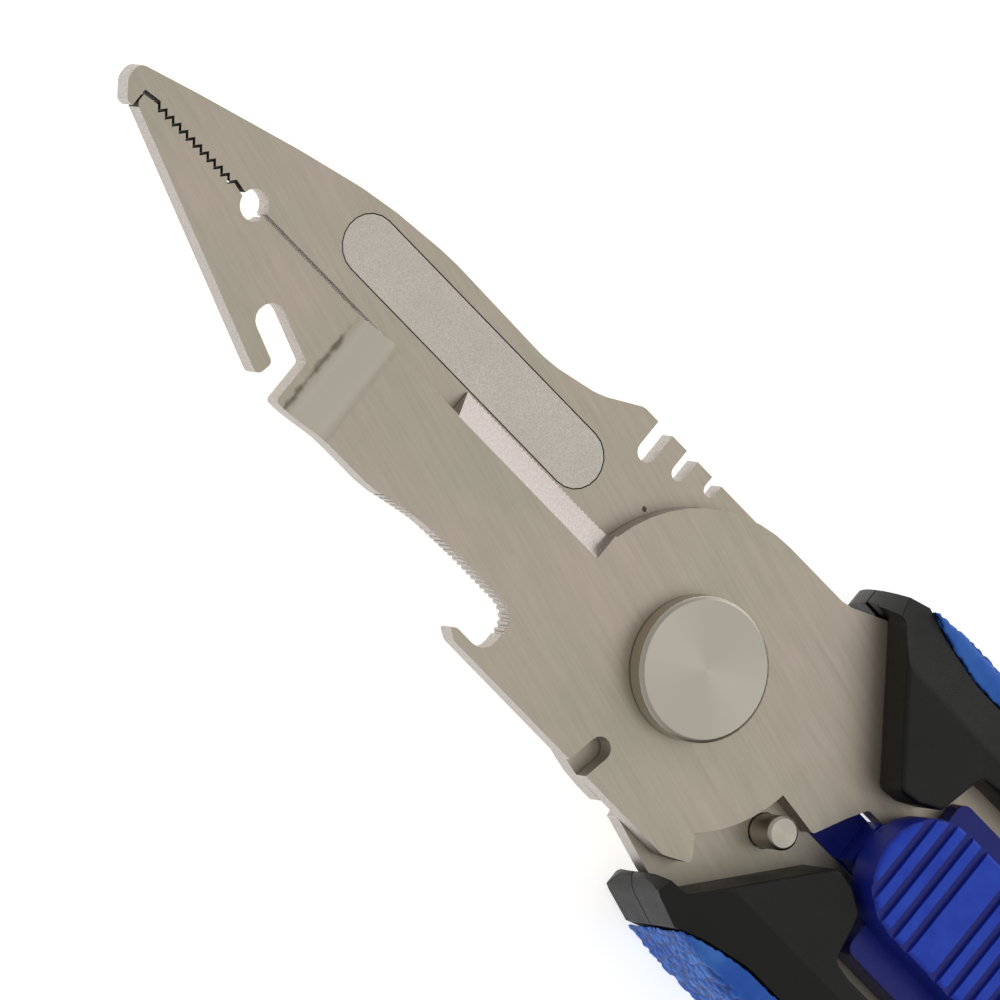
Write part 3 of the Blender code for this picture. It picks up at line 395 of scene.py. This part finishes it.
def file_notches(obj, route, pitch, radius, height):
    """Cuts a row of fine notches into an edge of a plate, along a route in millimetres."""
    path = bpy.data.meshes.new("notch_line")
    steps = [(i, i + 1) for i in range(len(route) - 1)]
    path.from_pydata([[c * MM for c in point] for point in route], steps, [])
    cutter = bpy.data.objects.new("notch_cutter", path)
    bpy.context.scene.collection.objects.link(cutter)
    rows = cutter.modifiers.new("notches", "NODES")
    rows.node_group = notches
    for label, value in (("Pitch", pitch), ("Notch radius", radius), ("Cut height", height)):
        rows[NOTCH_INPUTS[label]] = value * MM
    cut = obj.modifiers.new("filed", "BOOLEAN")
    cut.operation = "DIFFERENCE"
    cut.solver = "EXACT"
    cut.object = cutter
    bake_modifiers(obj)
    bpy.data.objects.remove(cutter)


PLATE = 2.0
THROAT_X = -10.75  # centre of the round at the bottle opener's throat
THROAT_Y = 19.1
THROAT_R = 2.0
THROAT_STEPS = 5
plate_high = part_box("front_plate")[1].z / MM
plate_mid = plate_high - PLATE / 2
throat = [(-8.7, 25.0, plate_mid), (THROAT_X + THROAT_R, THROAT_Y, plate_mid)]
for step in range(1, THROAT_STEPS + 1):
    bearing = math.radians(-90 * step / THROAT_STEPS)
    throat.append((
        THROAT_X + THROAT_R * math.cos(bearing), THROAT_Y + THROAT_R * math.sin(bearing), plate_mid,
    ))
waist = [
    (-9.75, 35.0, plate_mid), (-9.1, 31.4, plate_mid), (-8.75, 27.5, plate_mid), (-8.7, 25.6, plate_mid),
]
cutting_edge = [(3.45, 15.4, plate_high - PLATE), (3.45, 33.2, plate_high - PLATE)]

for node, name, body in (
    ("rear_plate", "rear_jaw_plate", "lower_arm"),
    ("front_plate", "front_jaw_plate", "upper_arm"),
):
    plate = finished_copy(node, name, PLATE_BREAK, faces=plate_face)
    if node == "front_plate":
        file_notches(plate, throat, 0.62, 0.2, 4.0)
        file_notches(plate, waist, 0.6, 0.13, 4.0)
        file_notches(plate, cutting_edge, 0.5, 0.17, 1.2)
    weigh_normals(plate)
    seat(plate, body, "satin_steel", (brushed, blanked, ground, teeth_shade), node)

# The hook hone: a long rounded insert of fine diamond grit on steel, glued into a pocket in the rear plate.
# Its even matt speckle is cooler than the steel round it.
GRIT = 0.09
grit, tree, shader, place = new_finish("fine_diamond_grit", "#cfc9be", 1.0, 0.5)
specks = grain(tree, place, GRIT, 1.0, 0.7).outputs["Fac"]
patches = grain(tree, place, 5.0, 2.0).outputs["Fac"]
tone = mix_colours(tree, spread(tree, specks, 0.35, 0.65, 0.0, 0.6), "#f6efe5", "#bcb6ab")
tone = mix_colours(tree, spread(tree, patches, 0.3, 0.7, 0.0, 0.3), tone, "#d2ccc1")
tree.links.new(tone, shader.inputs["Base Color"])
relief(tree, shader, specks, 0.012)
hone = finished_copy("hook_hone", "hook_hone_insert", 0.06)
weigh_normals(hone)
seat(hone, "lower_arm", "hone_grit", (grit,), "hook_hone")

# The pivot: a turned stainless screw with a broad flat head, and its capped nut on the back. The lathe
# leaves a spun finish, which gathers the light in two faint fans from the centre.
RING_PITCH = 0.14
spun, tree, shader, place = new_finish("turned_stainless_head", "#cfc9bd", 1.0, 0.36)
shader.inputs["Anisotropic"].default_value = 0.7
around = add(tree, "ShaderNodeTangent", direction_type="RADIAL", axis="Z")
tree.links.new(around.outputs["Tangent"], shader.inputs["Tangent"])
rings = add(tree, "ShaderNodeTexWave", {
    "Vector": place, "Scale": 1 / (RING_PITCH * MM) / 20, "Distortion": 0.4, "Detail": 1.0,
}, wave_type="RINGS", rings_direction="Z").outputs["Fac"]
relief(tree, shader, rings, 0.0012, 0.5)

HEAD_BREAK = 0.05
for node, name, body in (
    ("pivot_screw", "pivot_screw_head", "lower_arm"),
    ("pivot_nut", "pivot_cap_nut", "lower_arm"),
    ("stop_pin", "opening_stop_pin", "lower_arm"),
):
    turned = finished_copy(node, name, HEAD_BREAK, sharpest=20.0)
    weigh_normals(turned)
    seat(turned, body, "turned_steel", (spun,), node)

# The handle shells: glass-filled nylon, moulded black with a fine spark-eroded grain, a front and a back
# half to each handle. Corners that are handled have gone a little shiny and grey.
SPARK_GRAIN = 0.16
nylon, tree, shader, place = new_finish("moulded_black_nylon", "#151413", 0.0, 0.5)
shader.inputs["IOR"].default_value = 1.53
shader.inputs["Specular IOR Level"].default_value = 0.4
pebble = grain(tree, place, SPARK_GRAIN, 2.0, 0.55).outputs["Fac"]
scuffs = grain(tree, place, 3.0, 5.0, 0.7).outputs["Fac"]
tone = mix_colours(tree, spread(tree, scuffs, 0.45, 0.75, 0.0, 0.5), "#0b0a09", "#161513")
tone = mix_colours(tree, spread(tree, pebble, 0.55, 0.8, 0.0, 0.5), tone, "#1e1c1a")
tree.links.new(tone, shader.inputs["Base Color"])
tree.links.new(spread(tree, scuffs, 0.3, 0.7, 0.42, 0.56), shader.inputs["Roughness"])
relief(tree, shader, pebble, 0.02)
SHELL_BREAK = 0.12
for arm in ("upper", "lower"):
    for side in ("front", "back"):
        node = f"{arm}_{side}_shell"
        shell = finished_copy(node, node + "_moulding", SHELL_BREAK)
        weigh_normals(shell)
        seat(shell, arm + "_arm", "black_nylon", (nylon,), node)

# The grips: soft blue thermoplastic rubber moulded over the shells' outer edge. The outside has a
# leather-like crazing of fine creases, and a smooth border runs along the shells.
CREASE = 0.75
CREASE_DEPTH = 0.2
GRIP_VOXEL = 0.22
SWIRL = 1.5  # the creases wander by up to this much
rubber, tree, shader, place = new_finish("moulded_blue_rubber", "#2a5ab0", 0.0, 0.5)
shader.inputs["Specular IOR Level"].default_value = 0.3
shader.inputs["Sheen Weight"].default_value = 0.08
shader.inputs["Sheen Roughness"].default_value = 0.4
fine = grain(tree, place, 0.22, 3.0, 0.6).outputs["Fac"]
recess_painted_shade = add(tree, "ShaderNodeAttribute", attribute_name="crease", attribute_type="GEOMETRY").outputs["Fac"]
dusty = grain(tree, place, 4.0, 3.0).outputs["Fac"]
tone = mix_colours(tree, spread(tree, dusty, 0.35, 0.65, 0.0, 1.0), "#2a66d2", "#4584e2")
# painted shade: the creases are painted darker the deeper they are sunk
tone = mix_colours(tree, spread(tree, recess_painted_shade, 0.15, 0.9, 0.0, 0.75), tone, "#16357a")
tree.links.new(tone, shader.inputs["Base Color"])
tree.links.new(spread(tree, fine, 0.3, 0.7, 0.42, 0.62), shader.inputs["Roughness"])
relief(tree, shader, fine, 0.03)

creases = bpy.data.node_groups.new("leather_creases", "GeometryNodeTree")
creases.interface.new_socket("Geometry", in_out="INPUT", socket_type="NodeSocketGeometry")
CREASE_INPUTS = {
    label: creases.interface.new_socket(label, in_out="INPUT", socket_type="NodeSocketFloat").identifier
    for label in ("Crease size", "Crease depth")
}
creases.interface.new_socket("Geometry", in_out="OUTPUT", socket_type="NodeSocketGeometry")
came_in = add(creases, "NodeGroupInput")
position = add(creases, "GeometryNodeInputPosition").outputs["Position"]
normal = add(creases, "GeometryNodeInputNormal").outputs["Normal"]
per_size = add(creases, "ShaderNodeMath", {0: 1.0, 1: came_in.outputs["Crease size"]}, operation="DIVIDE")
wander = add(creases, "ShaderNodeTexNoise", {"Vector": position, "Scale": 300.0, "Detail": 2.0})
swirl = add(creases, "ShaderNodeVectorMath", {
    0: wander.outputs["Color"], 1: (SWIRL * MM, SWIRL * MM, SWIRL * MM),
}, operation="MULTIPLY")
bent = add(creases, "ShaderNodeVectorMath", {0: position, 1: swirl.outputs["Vector"]}, operation="ADD")
drawn = add(creases, "ShaderNodeVectorMath", {
    0: bent.outputs["Vector"], 1: (1.0, 0.55, 1.0),
}, operation="MULTIPLY")
cells = add(creases, "ShaderNodeTexVoronoi", {
    "Vector": drawn.outputs["Vector"], "Scale": per_size.outputs["Value"],
}, feature="DISTANCE_TO_EDGE")
height = add(creases, "ShaderNodeMapRange", {
    "Value": cells.outputs["Distance"], "From Min": 0.0, "From Max": 0.28, "To Min": -1.0, "To Max": 0.0,
}, interpolation_type="SMOOTHSTEP")
facing = add(creases, "ShaderNodeSeparateXYZ", {"Vector": normal})
steep = add(creases, "ShaderNodeMath", {0: facing.outputs["Z"]}, operation="ABSOLUTE")
rough_side = add(creases, "ShaderNodeMapRange", {
    "Value": steep.outputs["Value"], "From Min": 0.72, "From Max": 0.95, "To Min": 1.0, "To Max": 0.0,
}, interpolation_type="SMOOTHSTEP")
deep = add(creases, "ShaderNodeMath", {
    0: height.outputs["Result"], 1: came_in.outputs["Crease depth"],
}, operation="MULTIPLY")
masked = add(creases, "ShaderNodeMath", {
    0: deep.outputs["Value"], 1: rough_side.outputs["Result"],
}, operation="MULTIPLY")
push = add(creases, "ShaderNodeVectorMath", {0: normal, "Scale": masked.outputs["Value"]}, operation="SCALE")
moved = add(creases, "GeometryNodeSetPosition", {
    "Geometry": came_in.outputs["Geometry"], "Offset": push.outputs["Vector"],
})
depth_share = add(creases, "ShaderNodeMath", {
    0: masked.outputs["Value"], 1: came_in.outputs["Crease depth"],
}, operation="DIVIDE")
positive = add(creases, "ShaderNodeMath", {0: depth_share.outputs["Value"]}, operation="ABSOLUTE")
noted = add(creases, "GeometryNodeStoreNamedAttribute", {
    "Geometry": came_in.outputs["Geometry"], "Name": "crease", "Value": positive.outputs["Value"],
}, data_type="FLOAT", domain="POINT")
creases.links.new(noted.outputs["Geometry"], moved.inputs["Geometry"])
smooth = add(creases, "GeometryNodeSetShadeSmooth", {"Geometry": moved.outputs["Geometry"]})
painted = add(creases, "GeometryNodeSetMaterial", {
    "Geometry": smooth.outputs["Geometry"], "Material": rubber,
})
whole = add(creases, "GeometryNodeRealizeInstances", {"Geometry": painted.outputs["Geometry"]})
add(creases, "NodeGroupOutput", {"Geometry": whole.outputs["Geometry"]})


for arm in ("upper", "lower"):
    node = arm + "_grip"
    grip = finished_copy(node, node + "_rubber", 0.0)
    remesh = grip.modifiers.new("even_skin", "REMESH")
    remesh.mode = "VOXEL"
    remesh.voxel_size = GRIP_VOXEL * MM
    relax = grip.modifiers.new("soft_corners", "SMOOTH")
    relax.factor = 0.5
    relax.iterations = 2
    craze = grip.modifiers.new("creases", "NODES")
    craze.node_group = creases
    craze[CREASE_INPUTS["Crease size"]] = CREASE * MM
    craze[CREASE_INPUTS["Crease depth"]] = CREASE_DEPTH * MM
    bake_modifiers(grip)
    seat(grip, arm + "_arm", "blue_rubber", (rubber,), node)

# The handle screws: small zinc-bright machine screws, driven from the back, three to each handle. With them
# go the slider's two screws, its retaining plate and the lock pin, all of the same steel.
fastener, tree, shader, place = new_finish("bright_turned_screw", "#c4c0b8", 1.0, 0.3)
tooling = grain(tree, place, 0.12, 2.0).outputs["Fac"]
tree.links.new(spread(tree, tooling, 0.3, 0.7, 0.24, 0.4), shader.inputs["Roughness"])
relief(tree, shader, tooling, 0.004)
FASTENER_BREAK = 0.06
fastened = [(f"{arm}_screw_{i}", arm + "_arm") for arm in ("upper", "lower") for i in (1, 2, 3)]
fastened += [(name, "lock") for name in ("slider_screw_1", "slider_screw_2", "slider_retainer", "lock_pin")]
for node, body in fastened:
    screw = finished_copy(node, node + "_bright", FASTENER_BREAK)
    weigh_normals(screw)
    seat(screw, body, "turned_steel", (fastener,), node)

# The lock slider: glossy ultramarine nylon, moulded in one piece with its thumb pad, flange and tongue.
# The grooves across the pad are painted darker the further they sink below its top, as painted shade.
GROOVE_SHADE = 0.42
gloss, tree, shader, place = new_finish("moulded_ultramarine_nylon", "#1c34a4", 0.0, 0.34)
shader.inputs["IOR"].default_value = 1.53
shader.inputs["Specular IOR Level"].default_value = 0.32
shader.inputs["Subsurface Weight"].default_value = 0.05
shader.inputs["Subsurface Radius"].default_value = (0.0004, 0.0004, 0.0012)
height = add(tree, "ShaderNodeSeparateXYZ", {"Vector": place}).outputs["Z"]
pad_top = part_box("lock_slider")[1].z
recess_painted_shade = spread(tree, height, pad_top - GROOVE_SHADE * MM, pad_top - 0.05 * MM, 0.8, 0.0)
mottle = grain(tree, place, 2.0, 3.0).outputs["Fac"]
tone = mix_colours(tree, spread(tree, mottle, 0.3, 0.7, 0.0, 1.0), "#143fd2", "#2253e0")
# painted shade: darker the further below the pad's top
tone = mix_colours(tree, recess_painted_shade, tone, "#1d1c80")
tree.links.new(tone, shader.inputs["Base Color"])
wear = grain(tree, place, 0.3, 3.0).outputs["Fac"]
tree.links.new(spread(tree, wear, 0.3, 0.7, 0.28, 0.42), shader.inputs["Roughness"])
relief(tree, shader, wear, 0.008)
slider = finished_copy("lock_slider", "lock_slider_moulding", 0.1)
weigh_normals(slider)
seat(slider, "lock", "blue_nylon", (gloss,), "lock_slider")

# The return spring: 1.5 mm music wire wound into a hairpin of two and a half turns, its legs hooked into
# seats in the handles. The coil stays with the lower arm, and the upper leg is a wire of its own.
WIRE_R = 0.75
COIL_R = 4.2
COIL_Y = -60.0
COIL_HALF = 1.9
LEG_DEG = 11.0
LEG_TIP = (9.15, -88.0)
LEG_HOOK = 3.0
LEG_STEPS = 8
HOOK_BEND = 0.4
mid_z = (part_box("return_spring")[0].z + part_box("return_spring")[1].z) / 2 / MM


def wire(name, route, radius):
    """A round wire along a route in millimetres, swept by a curve and closed at its ends."""
    curve = bpy.data.curves.new(name + "_path", "CURVE")
    curve.dimensions = "3D"
    curve.bevel_depth = radius * MM
    curve.bevel_resolution = 4
    curve.use_fill_caps = True
    line = curve.splines.new("POLY")
    line.points.add(len(route) - 1)
    for point, (x, y, z) in zip(line.points, route):
        point.co = (x * MM, y * MM, z * MM, 1.0)
    drawn = bpy.data.objects.new(name + "_path", curve)
    bpy.context.scene.collection.objects.link(drawn)
    graph = bpy.context.evaluated_depsgraph_get()
    mesh = bpy.data.meshes.new_from_object(drawn.evaluated_get(graph))
    bpy.data.objects.remove(drawn)
    mesh.name = name
    shape = bmesh.new()
    shape.from_mesh(mesh)
    bmesh.ops.remove_doubles(shape, verts=shape.verts, dist=0.0005 * MM)
    bmesh.ops.recalc_face_normals(shape, faces=shape.faces)
    for face in shape.faces:
        face.smooth = True
    shape.to_mesh(mesh)
    shape.free()
    mesh.set_sharp_from_angle(angle=math.radians(40))
    made = bpy.data.objects.new(name, mesh)
    bpy.context.scene.collection.objects.link(made)
    return made


half_turn = 450.0 - LEG_DEG
TURN_STEPS = 60
half = []
for i in range(TURN_STEPS + 1):
    share = i / TURN_STEPS
    bearing = math.radians(90 - half_turn * share)
    half.append((COIL_R * math.cos(bearing), COIL_Y + COIL_R * math.sin(bearing), COIL_HALF * share))
leg_start = half[-1]
tip_x, tip_y = LEG_TIP
leg = []
for i in range(1, LEG_STEPS + 1):
    share = i / LEG_STEPS
    leg.append((
        leg_start[0] + (tip_x - leg_start[0]) * share,
        leg_start[1] + (tip_y + HOOK_BEND - leg_start[1]) * share,
        COIL_HALF,
    ))
leg += [(tip_x + 0.7, tip_y, COIL_HALF), (tip_x + LEG_HOOK, tip_y, COIL_HALF)]
music_wire, tree, shader, place = new_finish("drawn_music_wire", "#a9a6a0", 1.0, 0.32)
drawing = grain(tree, place, 0.3, 2.0).outputs["Fac"]
tree.links.new(spread(tree, drawing, 0.3, 0.7, 0.25, 0.42), shader.inputs["Roughness"])
relief(tree, shader, drawing, 0.005)
lower_half = [(-x, y, -z) for x, y, z in reversed(half[1:] + leg)]
raised = [(x, y, z + mid_z) for x, y, z in lower_half + half]
coil = wire("return_spring_coil", raised, WIRE_R)
coil.data.materials.append(music_wire)
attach(coil, "lower_arm")
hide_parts("return_spring")
upper_leg = wire("return_spring_upper_leg", [(x, y, z + mid_z) for x, y, z in [leg_start] + leg], WIRE_R)
upper_leg.data.materials.append(music_wire)
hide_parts("return_spring")
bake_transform(upper_leg)
